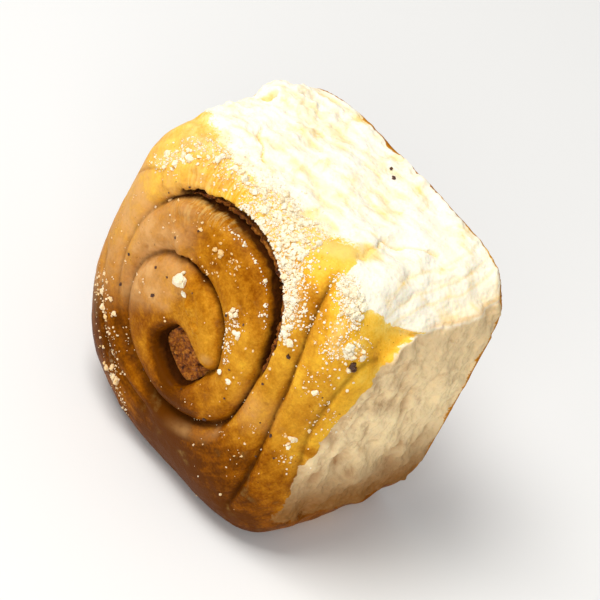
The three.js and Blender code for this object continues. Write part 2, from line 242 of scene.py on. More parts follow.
def swirl_place(x, y):
    dx = x - SWIRL_CENTRE[0]
    dy = y - SWIRL_CENTRE[1]
    return np.hypot(dx, dy), angle_of(dx, dy)


def pit_distance(x, y):
    """Distance outside the pit's rim, negative inside it."""
    c, s = direction(PIT["turn"])
    along = ((x - PIT["x"]) * c + (y - PIT["y"]) * s) / PIT["along"]
    across = ((y - PIT["y"]) * c - (x - PIT["x"]) * s) / PIT["across"]
    share = (np.abs(along) ** PIT["power"] + np.abs(across) ** PIT["power"]) ** (1 / PIT["power"])
    return (share - 1) * PIT["across"]


def swirl_creases(x, y):
    """For each winding of the swirl: the degrees of winding, and the distance from its crease."""
    radius, angle = swirl_place(x, y)
    for winding in WINDINGS:
        turn = angle + winding
        yield turn, radius - crease_radius(turn)


def outer_creases(x, y):
    """For each crease outside the coil: the distance from it, and 1 where the place is along it."""
    radius, angle = swirl_place(x, y)
    for one in OUTER_CREASES:
        middle = (one["from"] + one["to"]) / 2
        turned = np.where(angle < one["from"] - OUTER_CREASE_FADE, angle + 360, angle)
        share = (turned - middle) / ((one["to"] - one["from"]) / 2)
        along = within(turned, one["from"], one["to"], OUTER_CREASE_FADE)
        bow = np.where(share < 0, one["before"], one["after"])
        yield one, radius - one["radius"] - bow * share ** 2, along


def crease_sink(x, y):
    """How far the surface rolls down toward the creases."""
    sink = np.zeros_like(x)
    for turn, distance in swirl_creases(x, y):
        along = within(turn, CREASE_END["start"], CREASE_END["end"], CREASE_END["fade"])
        faint = blend(1.0, FAINT_CREASE["share"], ramp(turn, FAINT_CREASE["from"], FAINT_CREASE["to"]))
        opened = gap_width(turn) / GAP_WIDEST
        lip = blend(CREASE_RELIEF["width"], CREASE_RELIEF["lip_width"], opened)
        width = np.where(distance > 0, lip, CREASE_RELIEF["width"])
        sink += along * faint * CREASE_RELIEF["depth"] * groove(distance, width)
        sink += np.where(distance > 0, opened * GAP_LIP["drop"] * hump(distance, GAP_LIP["reach"]), 0.0)
    for one, distance, along in outer_creases(x, y):
        sink += along * one["depth"] * groove(distance, one["width"])
    return sink + PIT_RIM["depth"] * groove(np.maximum(0.0, pit_distance(x, y)), PIT_RIM["width"])


def crease_cut(x, y):
    """Depth of the sharp cuts below the rolled surface: the creases, the open gap and the pit."""
    cut = np.zeros_like(x)
    for turn, distance in swirl_creases(x, y):
        line = np.interp(turn, CUT_TURNS, CUT_DEPTHS, left=0.0, right=0.0)
        cut = np.maximum(cut, line * groove(distance, CUT_WIDTH))
        width = gap_width(turn)
        beyond = ramp(distance, width + GAP_OUTER_EDGE[0], width + GAP_OUTER_EDGE[1])
        inside = ramp(distance, *GAP_INNER_EDGE) * (1 - beyond)
        cut = np.maximum(cut, GAP_DEPTH * inside * ramp(width, 0.0, 1.2))
    for one, distance, along in outer_creases(x, y):
        cut = np.maximum(cut, along * one["line"] * groove(distance, CUT_WIDTH))
    hollow = PIT["depth"] * ramp(-pit_distance(x, y), -0.9, 0.6)
    return np.maximum(cut, hollow)


def sunk_below(x, y, z):
    """How deep places lie below the rolled surface of the swirl, in the gap and in the pit."""
    radius, _ = swirl_place(x, y)
    rolled = top_over(x, y) - crease_sink(x, y)
    return np.where((radius < DOME_RADIUS) & (z > 40), rolled - z, 0.0)


def crags(along, height):
    broad = np.sin(0.23 * along + 1.1 + np.sin(0.17 * height)) * np.sin(0.21 * height + 0.6)
    slanted = np.sin(0.41 * along - 0.3 * height + 2 * np.sin(0.11 * along + 0.14 * height))
    fine = np.sin(0.58 * height + 0.21 * along) * np.sin(0.63 * along - 0.17 * height + 0.7)
    return 0.5 * broad + 0.25 * slanted + 0.25 * fine


def torn_lift(angle, x, y, z):
    """How far the torn sides stand out at points of the wall."""
    share = within(angle, TORN["from"], TORN["to"], TORN["fade"]) * ramp(z, 0.0, 3.0)
    share *= 1 - ramp(z, TORN["height"] - TORN["height_fade"], TORN["height"] + TORN["height_fade"])
    upper = ramp(angle, TORN_CORNER[0], TORN_CORNER[1])
    lift = TORN["relief"] * crags(blend(y, x, upper), z)
    dent = hump(x - DENT["x"], DENT["reach_x"]) * hump(z - DENT["z"], DENT["reach_z"])
    lift -= upper * DENT["depth"] * dent
    flap = within(x, FLAP["from"], FLAP["to"], FLAP_FADE["along"])
    lift += upper * FLAP["lift"] * flap * within(z, FLAP["bottom"], FLAP["top"], FLAP_FADE["up"])
    for one in PUFFS:
        lift += upper * one["lift"] * hump(np.hypot(x - one["x"], z - one["z"]), one["reach"])
    return share * lift


def corner_cut(x, y, z):
    """How far the slanting flat between the two torn sides cuts in, more toward the swirl."""
    c, s = direction(CORNER_FLAT["direction"])
    share = np.minimum(1.0, z / CORNER_FLAT["upper_from"])
    flat_at = blend(CORNER_FLAT["base"], CORNER_FLAT["upper"], share)
    beyond = (x * c + y * s - flat_at) / CORNER_FLAT["softness"]
    return CORNER_FLAT["softness"] * np.log1p(np.exp(beyond))


def wall_place(angle, share):
    """Points of the wall, from the base, share 0, to the shoulder, share 1."""
    c, s = direction(angle)
    reach = outline(angle, share)
    height = share * shoulder_at(angle)
    x = reach * c
    y = reach * s
    out = reach + torn_lift(angle, x, y, height) - corner_cut(x, y, height)
    return np.column_stack((out * c, out * s, height))


def top_place(angle, ring):
    """Points of the domed top, from the middle, ring 0, to the shoulder, ring 1."""
    c, s = direction(angle)
    out = ring * outline(angle, 1.0)
    x = DOME_CENTRE[0] * (1 - ring) + out * c
    y = DOME_CENTRE[1] * (1 - ring) + out * s
    height = dome_height(angle, ring)
    lift = ramp(ring, 0.8, 1.0) * (torn_lift(angle, x, y, height) - corner_cut(x, y, height))
    return np.column_stack((x + lift * c, y + lift * s, height - crease_sink(x, y)))


def to_world(points):
    """From the bun's own frame in millimetres to the CAD's frame in metres."""
    x, y, z = points.T
    return np.column_stack((x + MIDDLE[0], MIDDLE[1] - z, y + MIDDLE[2])) * MILLIMETRE


def to_bun(points):
    x, y, z = (points / MILLIMETRE).T
    return np.column_stack((x - MIDDLE[0], z - MIDDLE[2], MIDDLE[1] - y))


def bun_directions(directions):
    x, y, z = directions.T
    return np.column_stack((x, z, -y))


def read_points(piece):
    flat = np.empty(len(piece.data.vertices) * 3, dtype=np.float64)
    piece.data.vertices.foreach_get("co", flat)
    return to_bun(flat.reshape(-1, 3))


def read_normals(piece):
    flat = np.empty(len(piece.data.vertices) * 3, dtype=np.float32)
    piece.data.vertices.foreach_get("normal", flat)
    return bun_directions(flat.reshape(-1, 3).astype(np.float64))


def write_points(piece, points):
    piece.data.vertices.foreach_set("co", to_world(points).ravel())
    piece.data.update()


def write_share(piece, name, values):
    """A share for each vertex that the materials read by its name."""
    layer = piece.data.attributes.new(name, "FLOAT", "POINT")
    layer.data.foreach_set("value", np.asarray(values, dtype=np.float32))


def write_vector(piece, name, values):
    """A place for each vertex that the materials read by its name."""
    layer = piece.data.attributes.new(name, "FLOAT_VECTOR", "POINT")
    layer.data.foreach_set("vector", np.column_stack(values).astype(np.float32).ravel())


def choose(piece):
    bpy.ops.object.select_all(action="DESELECT")
    piece.select_set(True)
    bpy.context.view_layer.objects.active = piece


def add_shape(operation, **settings):
    """Add one of Blender's plain shapes and return it."""
    bpy.ops.object.select_all(action="DESELECT")
    operation(**settings)
    return bpy.context.object


def add_object(name, data):
    made = bpy.data.objects.new(name, data)
    bpy.context.collection.objects.link(made)
    return made


def finish_with(piece, kind, name, **settings):
    """Add a modifier and apply it."""
    choose(piece)
    modifier = piece.modifiers.new(name, kind)
    for setting, value in settings.items():
        setattr(modifier, setting, value)
    bpy.ops.object.modifier_apply(modifier=modifier.name)


def edit_all(piece, *steps):
    """Run edit mode's operations, each on the whole piece."""
    choose(piece)
    bpy.ops.object.mode_set(mode="EDIT")
    for operation, settings in steps:
        bpy.ops.mesh.select_all(action="SELECT")
        operation(**settings)
    bpy.ops.object.mode_set(mode="OBJECT")


def noise_over(points, where, noise_at):
    """Noise at points, 0 outside the mask."""
    values = np.zeros(len(points))
    chosen = np.arange(len(points)) if where is None else np.flatnonzero(where)
    values[chosen] = [noise_at(place) for place in points[chosen].tolist()]
    return values


def waves(points, size, octaves, seed, where=None):
    """Soft irregular noise, about -1 to 1, at points in millimetres."""
    places = points / size + np.array((13.7, 5.3, 9.1)) * seed
    return noise_over(places, where, lambda place: noise.fractal(place, 0.9, 2.1, octaves))


def ridges(points, size, octaves, seed, where=None):
    """Sharp-edged noise, about 0 to 1, like the torn edges of dough."""
    places = points / size + np.array((3.1, 15.3, 7.7)) * seed
    return 0.5 * noise_over(
        places, where, lambda place: noise.ridged_multi_fractal(place, 0.9, 2.2, octaves, 0.9, 1.6))


def crumb_patch(name, spread, coarse, fine, warm, *line):
    return {"name": name, "spread": spread, "coarse": coarse, "fine": fine, "warm": warm, "line": line}


# Where the coarse crumbs and the sugar lie: how far they spread from a line in the bun's own frame,
# how many of each kind there are, how warm their colour is, and the line's corners
CRUMB_PATCHES = (
    crumb_patch("tear left", 2.8, 70, 800, 0.0,
                (-37, 38, 53), (-30, 41, 51), (-20, 41.5, 51), (-10, 41.5, 50)),
    crumb_patch("gap lip", 1.3, 230, 2300, 0.0,
                (-12, 37.5, 57.5), (-6, 37.3, 58), (1.4, 36.1, 58.5), (8.2, 33.8, 59.5),
                (16.2, 28.4, 61.5), (18.6, 22, 62.8)),
    crumb_patch("gap band", 2.2, 200, 2700, 0.0,
                (-12, 40.6, 52), (-3, 40, 54), (7, 37.6, 56.5), (15.2, 33, 58.5), (19, 28, 60.5)),
    crumb_patch("tear middle", 2.4, 120, 1400, 0.0,
                (-14, 41, 50), (-4.5, 42, 47), (1, 41, 49), (8, 40, 52)),
    crumb_patch("flap", 1.3, 90, 1000, 0.0,
                (21, 41, 49.5), (26, 40, 50.7), (30, 37.7, 52.1), (33.5, 35.5, 52)),
    crumb_patch("flap foot", 1.8, 30, 330, 0.0,
                (30, 34, 55), (31.8, 30, 56.8), (34, 27.5, 56.5), (38, 30, 50)),
    crumb_patch("top left", 1.6, 12, 200, 0.1, (-42, 30, 60), (-40, 32, 59), (-37, 36, 57)),
    crumb_patch("left edge", 2.2, 24, 260, 0.45,
                (-41, -14, 63), (-36, -21, 65), (-29, -27, 65.5), (-21, -36, 65), (-16, -43, 63)),
    crumb_patch("on the coil", 2.6, 14, 80, 0.75, (-25.6, 24.7, 64.6), (-15, 27, 63.7), (-4, 26, 64)),
    crumb_patch("coil's right", 1.4, 12, 130, 0.05,
                (4.5, 20.5, 64.5), (7.0, 14.5, 65.5), (8.5, 8.0, 66), (9.5, 3.0, 66)),
    crumb_patch("right shoulder", 3.0, 8, 110, 0.1,
                (33, 20, 58), (38, 8, 56), (38.6, 1, 54.5), (36, -14, 58)),
    crumb_patch("everywhere", 11.0, 8, 230, 0.5,
                (-36, 10, 63), (-10, -25, 67), (22, -12, 64), (28, 14, 61), (-8, 20, 66)),
)


# Short cracks in the crust's skin
SKIN_CRACKS = (
    ((-48.0, 19.5, 58.0), (-45.5, 24.1, 60.0), (-42.5, 27.4, 60.8), (-39.9, 29.0, 61.4)),
    ((-39.9, 29.0, 61.4), (-37.4, 28.4, 62.3), (-35.7, 26.7, 63.0)),
    ((21.3, -0.4, 63.1), (23.5, 1.0, 62.9), (26.2, 0.5, 62.5)),
    ((-30.5, 9.0, 65.0), (-30.0, 13.5, 64.8)),
)

# Folds and cracks of the torn top, by x and z, with their depth and width
TORN_FOLDS = (
    {"line": ((-34.0, 34.0), (-29.0, 38.0), (-22.0, 42.5)), "depth": 1.5, "width": 0.8},
    {"line": ((18.0, 45.0), (17.5, 36.7), (15.3, 29.0), (19.0, 23.5), (25.5, 16.5)),
     "depth": 1.1, "width": 1.4},
    {"line": ((33.0, 35.0), (31.5, 24.0), (33.5, 12.0), (33.5, 6.0)), "depth": 0.35, "width": 1.4},
    {"line": ((28.5, 34.0), (28.0, 26.0), (29.5, 18.0)), "depth": 0.3, "width": 1.4},
)

# Hollows of the torn top, by x and z, with how much narrower or lower than round they are
TORN_HOLLOWS = (
    {"x": -43.5, "z": 21.5, "narrow": 1.0, "low": 0.8, "depth": 2.4, "reach": 2.2},
    {"x": -1.5, "z": 44.5, "narrow": 0.7, "low": 1.0, "depth": 1.3, "reach": 3.4},
)


def line_points(line, shares):
    """Points at shares, 0 to 1, of a line's length."""
    corners = np.array(line, dtype=float)
    lengths = np.linalg.norm(np.diff(corners, axis=0), axis=1)
    reached = np.concatenate(((0.0,), np.cumsum(lengths))) / lengths.sum()
    return np.column_stack([np.interp(shares, reached, corners[:, axis]) for axis in range(3)])


def line_distance(points, line):
    """Distance of points from a line, in as many numbers as the line's corners have."""
    corners = np.array(line, dtype=float)
    nearest = np.full(len(points), 1e9)
    for start, end in zip(corners[:-1], corners[1:]):
        way = end - start
        share = np.clip((points - start) @ way / (way @ way), 0.0, 1.0)
        nearest = np.minimum(nearest, np.linalg.norm(points - start - share[:, None] * way, axis=1))
    return nearest


def skin_cracks(points):
    """1 in the cracks of the crust's skin."""
    cracks = np.zeros(len(points))
    for line in SKIN_CRACKS:
        cracks = np.maximum(cracks, groove(line_distance(points, line), 0.9))
    return cracks


def dusting_at(points):
    """How thickly sugar and crumbs cover the crust, 0 to 1."""
    dusting = np.zeros(len(points))
    for patch in CRUMB_PATCHES:
        if patch["name"] == "everywhere":
            continue
        nearest = line_distance(points, patch["line"])
        thickness = min(1.0, patch["fine"] / (40.0 * len(patch["line"]) * patch["spread"]))
        dusting = np.maximum(dusting, thickness * np.exp(-(nearest / (1.7 * patch["spread"])) ** 2))
    return dusting


def tear_height(angle):
    return np.interp(angle, TEAR_ANGLES, TEAR_HEIGHTS)


def torn_share(points):
    """1 on the torn crumb and 0 on the crust, with an uneven line between them."""
    x, y, z = points.T
    angle = angle_of(x, y)
    sides = within(angle, TORN["from"] + 3, TORN["to"] - 2, 2.5)
    near = sides > 0
    crumbly = ramp(angle, 70.0, 85.0)
    uneven = TEAR_UNEVENNESS * (1 + 0.5 * crumbly) * waves(points, 5.0, 4, 2, near)
    soft_edge = 0.7 + 1.1 * ramp(angle, 38.0, 50.0) + 2.4 * crumbly
    soft_edge += 3.0 * within(angle, 69.0, 90.0, 4.0)
    below = 1 - ramp(z - tear_height(angle) - uneven, -soft_edge, soft_edge)
    return sides * below * ramp(z + 0.4 * uneven, 0.2, 1.6) * ramp(z, 0.05, 0.6)


def crease_lines(x, y):
    """1 along the sharp bottoms of the creases, where the cinnamon shows as a thin dark line."""
    lines = np.zeros_like(x)
    for turn, distance in swirl_creases(x, y):
        strength = np.interp(turn, CUT_TURNS, CUT_DEPTHS, left=0.0, right=0.0) / 3.0
        lines = np.maximum(lines, np.minimum(1.0, strength) * np.exp(-(distance / 0.62) ** 2))
    for one, distance, along in outer_creases(x, y):
        lines = np.maximum(lines, 0.42 * one["line"] * along * np.exp(-(distance / 0.6) ** 2))
    return lines * (pit_distance(x, y) > -0.5)


def dough_block():
    """A block of the bun's size, divided and rounded into the bun's plain form."""
    low, high = (np.array(corner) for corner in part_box("dough"))
    cube = bpy.ops.mesh.primitive_cube_add
    block = add_shape(cube, size=1.0, location=(low + high) / 2, scale=high - low)
    block.name = "bun_dough"
    bpy.ops.object.transform_apply(location=True, rotation=True, scale=True)
    edit_all(block, *((bpy.ops.mesh.subdivide, {"number_cuts": cuts}) for cuts in BLOCK_CUTS))
    points = read_points(block)
    least, most = points.min(axis=0), points.max(axis=0)
    u, v, w = ((points - least) / (most - least) * 2 - 1).T
    edge = np.maximum(np.abs(u), np.abs(v))
    angle = angle_of(u, v)
    rounded = np.sin(0.5 * np.pi * edge)
    placed = wall_place(angle, (w + 1) / 2)
    on_base = w < -0.9999
    on_top = w > 0.9999
    reach = outline(angle, 0.0) * edge
    c, s = direction(angle)
    placed[on_base] = np.column_stack((reach * c, reach * s, np.zeros_like(reach)))[on_base]
    placed[on_top] = top_place(angle[on_top], rounded[on_top])
    placed[:, 1] = np.maximum(placed[:, 1], -RESTING_DEPTH)
    write_points(block, placed)
    return block


def carve_swirl(dough):
    """Cut the creases, the open gap and the pit into the top."""
    points = read_points(dough)
    normals = read_normals(dough)
    facing = (points[:, 2] > SHOULDER_HEIGHT + 4) & (normals[:, 2] > 0.15)
    cut = crease_cut(points[:, 0], points[:, 1]) * facing
    points[:, 2] -= cut
    write_points(dough, points)


def corner_line(z):
    """Angle of the edge between the two torn sides."""
    return np.interp(z, (0, 5, 15, 30, 37, 41, 48), (43, 40.5, 38.0, 38.5, 36.5, 34.5, 31.0))


def torn_relief(points, angle, where):
    """How far the torn crumb stands out or lies back: pulled sheets, lumps, folds and cracks."""
    x, y, z = points.T
    upper = ramp(angle, TORN_CORNER[0], TORN_CORNER[1])
    pulled = np.column_stack((x, y * 0.6, z * 0.75))
    sheets = ridges(pulled, 8.0, 4, 4, where)
    lumps = waves(points, 4.2, 3, 5, where)
    fine = waves(points, 1.5, 3, 6, where)
    relief = 0.62 * (sheets - 0.55) + 0.3 * lumps + 0.14 * fine + 0.8 * waves(points, 13.0, 2, 9, where)
    fold_way = x * 0.24 + z * 0.97 + 1.6 * waves(points, 9.0, 2, 8, where)
    step = np.mod(fold_way / 5.5, 1.0)
    relief += 0.5 * (ramp(step, 0.0, 0.85) - ramp(step, 0.9, 1.0) - 0.4) * (0.4 + 0.6 * upper)
    relief *= blend(2.0, 0.85, upper)
    corner = np.abs(angle - corner_line(z))
    relief *= 1 - 0.7 * hump(angle - 51.0, 21.0)
    relief += 2.0 * np.maximum(0.0, 1 - corner / 11.0) * within(z, 3.0, 40.0, 4.0)
    across = np.column_stack((x + 0.5 * np.sin(0.9 * z), z + 0.4 * np.sin(1.1 * x)))
    for fold in TORN_FOLDS:
        relief -= upper * fold["depth"] * groove(line_distance(across, fold["line"]), fold["width"])
    for hollow in TORN_HOLLOWS:
        aside = (x - hollow["x"]) * hollow["narrow"]
        distance = np.hypot(aside, (z - hollow["z"]) * hollow["low"])
        relief -= hollow["depth"] * upper * hump(distance, hollow["reach"])
    return relief


def rough_dough(dough):
    """Fine relief: torn crumb, rough walls in the gap, wrinkles in the crust."""
    points = read_points(dough)
    normals = read_normals(dough)
    x, y, z = points.T
    angle = angle_of(x, y)
    torn = torn_share(points)
    wall = ramp(sunk_below(x, y, z), 0.8, 2.5)
    move = torn * torn_relief(points, angle, torn > 0.02)
    edge = within(angle, 122.0, 140.0, 5.0) * ramp(z, 2.0, 8.0)
    edge = np.maximum(edge, within(angle, 36.0, 122.0, 8.0) * hump(z - 2.5, 4.0))
    move += edge * (1.2 * waves(points, 4.6, 3, 15, edge > 0.02) + 0.3)
    crust = (1 - torn) * (1 - wall)
    soft = waves(points, 17.0, 2, 11)
    skin = waves(points, 3.2, 2, 12)
    move += crust * (0.5 * soft + 0.09 * skin)
    move -= 0.9 * crust * skin_cracks(points)
    dusted = dusting_at(points)
    crumbly = waves(points, 1.25, 2, 13, dusted > 0.03)
    move += dusted * crust * (0.5 * crumbly + 0.16)
    ragged = waves(points, 2.3, 3, 14, wall > 0.02)
    move += wall * 0.45 * ragged
    flat = 1 - np.maximum(ramp(-y, RESTING_DEPTH - 1.2, RESTING_DEPTH), ramp(-z, -0.8, 0.0) * 0.7)
    move *= flat
    points += normals * move[:, None]
    points[:, 1] = np.maximum(points[:, 1], -RESTING_DEPTH)
    write_points(dough, points)


# The paler crescent under the coil, by x and y, which takes half the painted sheen's colour
UNDER_COIL = ((0.2, -30.6), (4.8, -28.6), (9.2, -26.4), (13.5, -23.2), (15.5, -19.4))

# The yellow valley in the torn top beside the flap
VALLEY = ((1.0, 41.5, 51.0), (8.0, 41.8, 49.0), (15.0, 42.3, 44.5), (18.0, 43.0, 37.0))


def crust_browning_and_shade(points, angle, radius, rolled, pale):
    """How brown the crust is, 0 to 1, on the swirl, on the wall and on the underside, with some painted
    shade on the swirl.
    """
    x, y, z = points.T
    on_swirl = np.interp(y, BROWNING_PLACES, BROWNING_AND_SHADE_LEVELS)
    on_swirl -= 0.002 * x + 0.0035 * np.maximum(0.0, x - 6.0)
    for corner in BROWNING_CORNERS:
        on_swirl += corner["change"] * ramp(x, *corner["x"]) * ramp(y, *corner["y"])
    for spot_x, spot_y, reach, change in BROWNING_SPOTS:
        on_swirl += change * hump(np.hypot(x - spot_x, y - spot_y), reach)
    # Painted shade on the coil's upper part
    on_swirl += 0.12 * within(radius, 13.0, 29.5, 2.0) * ramp(y, 8.0, 24.0)
    swirl_side = np.maximum(ramp(z, 30.0, 58.0), within(angle, TORN["from"], TORN["to"], 8.0))
    on_wall = WALL_BROWNING + 0.06 * np.cos(np.radians(angle - 200.0)) - 0.1 * hump(z - 24.0, 22.0)
    # Darker where the surface rolls down into the creases
    browning_and_shade = blend(on_wall, on_swirl, swirl_side) - pale + 0.07 * ramp(rolled, 0.5, 2.6)
    # Painted shade around the pit's rim, mostly on its left, where the rim rolls down into the pit
    pit_rim_shade = hump(np.maximum(0.0, pit_distance(x, y)), 3.4) * blend(1.0, 0.1, ramp(x, -8.0, -2.0))
    browning_and_shade = blend(browning_and_shade + 0.3 * pit_rim_shade, UNDERSIDE_BROWNING, 1 - ramp(z, 0.0, 2.5))
    return np.clip(browning_and_shade, 0, 1)


def dough_shares(dough):
    """The shares that the dough's material reads: where it is torn, browned, covered in cinnamon, and
    where sheen and shade are painted.
    """
    points = read_points(dough)
    x, y, z = points.T
    angle = angle_of(x, y)
    torn = torn_share(points)
    upper = ramp(angle, 25.0, 50.0)
    radius, turned = swirl_place(x, y)
    rolled = crease_sink(x, y)
    paste_and_shade = ramp(sunk_below(x, y, z), 0.6, 2.4)
    cinnamon = np.maximum(paste_and_shade, crease_lines(x, y) * (z > SHOULDER_HEIGHT))
    from_tear = np.maximum(0.0, z - tear_height(angle))
    pale = np.exp(-from_tear / blend(3.2, 6.0, upper)) * within(angle, TORN["from"], TORN["to"], 9.0)
    domed = ramp(z, 36.0, 60.0)
    # Painted sheen: a pale pinkish reflection on the left flanks of the coils, and a spot on the right
    painted_sheen = within(turned % 360, 132.0, 198.0, 30.0) * within(radius, 7.0, 50.0, 4.0)
    painted_sheen = np.maximum(painted_sheen, 0.6 * hump(np.hypot(x - 23.0, y + 4.0), 9.0)) * domed
    crescent = hump(line_distance(points[:, :2], UNDER_COIL), 3.2) * ramp(x, -3.0, 12.0) * (z > 50)
    relief = torn_relief(points, angle, torn > 0.02)
    above = angle - corner_line(z) - 0.5 * waves(points, 5.0, 3, 17, torn > 0.02)
    far_end = blend(1.0, 0.4, ramp(z, 12.0, 30.0)) * within(z, 0.0, 38.0, 5.0)
    layered = 0.8 * hump(above - 7.5, 0.9) + 0.6 * hump(above - 11.5, 0.8) + 0.5 * hump(above - 17.0, 1.0)
    beside_pit = hump(np.hypot(x - 3.6, y + 2.0), 2.6)
    near_tear = np.exp(-from_tear / 9.0) * within(angle, 84.0, 142.0, 8.0) * ramp(z, 34.0, 44.0)
    shares = {
        "torn": torn,
        # Painted warm shade in the torn crumb's hollows
        "hollow": torn * ramp(-relief, blend(0.3, -0.1, upper), blend(2.2, 1.1, upper)),
        "browning_and_shade": crust_browning_and_shade(points, angle, radius, rolled, blend(0.05, 0.13, upper) * pale),
        "cinnamon": cinnamon,
        "dusting": dusting_at(points),
        "painted_sheen": np.maximum(painted_sheen, 0.5 * crescent) * (1 - torn),
        "coiled": domed * (1 - torn),
        # Painted shade on the torn side below the edge between the two torn sides
        "painted_shade_side": 1 - ramp(above, -1.6, 0.3),
        "ridge_line": hump(above - 0.5, 1.1) * within(z, 1.0, 24.0, 8.0),
        # Warm painted shade where the torn top curves down to its edge, strongest at the far end
        "painted_edge_shade": ramp(above, -1.0, 0.5) * np.exp(-np.maximum(0.0, above) / 5.0) * far_end,
        "valley": hump(line_distance(points, VALLEY), 5.5),
        "layers": layered * within(z, 5.0, 38.0, 6.0),
        "doughy": beside_pit * (cinnamon < 0.5) * domed,
        "cracked": skin_cracks(points),
        "near_tear": near_tear * ramp(np.hypot(x, y), 32.0, 37.0),
        # Painted shade that deepens toward the lower end of that torn side
        "painted_shade_low": np.interp(y, PAINTED_SHADE_PLACES, PAINTED_SHADE_SHARES),
    }
    for name, values in shares.items():
        write_share(dough, name, values)
    write_vector(dough, "tear_place", (0.8 * angle, 0.16 * from_tear, np.zeros_like(angle)))
    c, s = direction(turned)
    write_vector(dough, "coil_place", (radius, 7.0 * c, 7.0 * s))


def make_dough():
    dough = dough_block()
    finish_with(dough, "REMESH", "even skin", mode="VOXEL", voxel_size=FIRST_VOXEL * MILLIMETRE)
    finish_with(dough, "SMOOTH", "soften", factor=0.5, iterations=2)
    carve_swirl(dough)
    finish_with(dough, "REMESH", "fine skin", mode="VOXEL", voxel_size=FINE_VOXEL * MILLIMETRE)
    finish_with(dough, "SMOOTH", "soften again", factor=0.4, iterations=1)
    rough_dough(dough)
    finish_with(dough, "TRIANGULATE", "triangles")
    count = len(dough.data.polygons)
    if count > MOST_TRIANGLES:
        finish_with(dough, "DECIMATE", "thin out", ratio=MOST_TRIANGLES / count)
    dough_shares(dough)
    choose(dough)
    bpy.ops.object.shade_smooth()
    return dough


def ball_shape(divisions, seed, unevenness):
    """Vertices and faces of an uneven lump about 1 mm in radius."""
    ball = add_shape(bpy.ops.mesh.primitive_ico_sphere_add, subdivisions=divisions, radius=1.0)
    corners = np.array([vertex.co[:] for vertex in ball.data.vertices])
    faces = np.array([face.vertices[:] for face in ball.data.polygons])
    bpy.data.objects.remove(ball, do_unlink=True)
    lumpy = waves(corners, 0.9, 2, seed)
    return corners * (1 + unevenness * lumpy)[:, None], faces


def random_turns(random, count):
    """Random rotation matrices."""
    q = random.normal(size=(count, 4))
    q /= np.linalg.norm(q, axis=1)[:, None]
    w, x, y, z = q.T
    rows = (
        (1 - 2 * (y * y + z * z), 2 * (x * y - z * w), 2 * (x * z + y * w)),
        (2 * (x * y + z * w), 1 - 2 * (x * x + z * z), 2 * (y * z - x * w)),
        (2 * (x * z - y * w), 2 * (y * z + x * w), 1 - 2 * (x * x + y * y)),
    )
    return np.stack([np.stack(row, axis=-1) for row in rows], axis=1)


def scatter(name, shapes, places, normals, sizes, lift, flatness, random, warmth=0.0):
    """Copies of the shapes on the surface, joined into one piece."""
    count = len(places)
    turns = random_turns(random, count)
    stretch = random.uniform(0.62, 1.3, size=(count, 3))
    picks = random.integers(len(shapes), size=count)
    tints = np.minimum(1.0, warmth + 0.5 * random.uniform(size=count))
    corners, faces, shades = [], [], []
    reached = 0
    for index in range(count):
        shape, sides = shapes[picks[index]]
        lump = (shape * stretch[index]) @ turns[index].T * sizes[index]
        out = lump @ normals[index]
        lump = lump - np.outer(out * (1 - flatness), normals[index])
        corners.append(lump + places[index] + normals[index] * sizes[index] * lift)
        faces.append(sides + reached)
        shades.append(np.full(len(shape), tints[index]))
        reached += len(shape)
    mesh = bpy.data.meshes.new(name)
    mesh.from_pydata(to_world(np.concatenate(corners)).tolist(), [], np.concatenate(faces).tolist())
    piece = add_object(name, mesh)
    write_share(piece, "tint", np.concatenate(shades))
    choose(piece)
    bpy.ops.object.shade_smooth_by_angle(angle=np.radians(35.0))
    return piece


def surface_tree(piece):
    return BVHTree.FromObject(piece, bpy.context.evaluated_depsgraph_get())


def land(tree, wanted):
    """Nearest places on the dough and its normals there, in the bun's own frame."""
    places, normals = [], []
    for point in to_world(wanted):
        place, normal, _, _ = tree.find_nearest(Vector(point))
        places.append(place[:])
        normals.append(normal[:])
    return to_bun(np.array(places)), bun_directions(np.array(normals))


# Single lumps that the photograph shows: place and radius
BIG_CRUMBS = (
    (-13.9, 12.4, 67.0, 3.0), (-11.6, 9.6, 67.0, 0.9), (-15.8, 14.8, 66.8, 1.0),
    (9.7, -0.5, 66.4, 1.0), (13.3, -0.7, 66.1, 0.9), (39.0, 27.5, 50.5, 1.2),
)
DARK_GRANULES = (
    (38.2, 24.9, 53.0, 1.0), (39.2, 23.6, 52.2, 0.8), (24.4, 18.6, 62.2, 0.8), (-5.7, 44.0, 7.6, 0.7),
    (-2.4, 43.6, 9.6, 0.5), (-20.5, 0.5, 66.9, 0.6), (-24.0, 8.0, 66.6, 0.45), (30.0, -8.0, 61.5, 0.5),
    (3.0, 15.0, 65.6, 0.45), (-34.0, -9.0, 65.0, 0.5), (12.0, -20.0, 66.2, 0.5), (22.0, 6.0, 64.0, 0.4),
    (12.0, 2.5, 66.2, 0.3), (14.5, -6.5, 66.0, 0.4), (33.0, -14.0, 59.0, 0.35), (29.0, -18.0, 61.0, 0.3),
    (26.0, -6.0, 62.5, 0.35), (-33.0, 27.0, 62.5, 0.3), (-18.0, 27.0, 64.0, 0.35),
    (-22.0, 21.0, 65.0, 0.4), (-35.0, 2.0, 64.5, 0.35), (-19.0, 9.0, 66.8, 0.3), (-9.0, 12.5, 67.0, 0.3),
    (-1.0, -16.0, 66.8, 0.3), (9.0, 17.0, 65.0, 0.35), (-14.0, -24.0, 66.4, 0.35),
    (36.5, 12.0, 56.5, 0.3), (-29.0, 33.0, 60.0, 0.35),
)


def set_down(name, tree, shapes, singles, lift, flatness, seed):
    """Single lumps on the surface at their places."""
    listed = np.array(singles)
    places, normals = land(tree, listed[:, :3])
    random = np.random.default_rng(seed)
    return scatter(name, shapes, places, normals, listed[:, 3], lift, flatness, random)


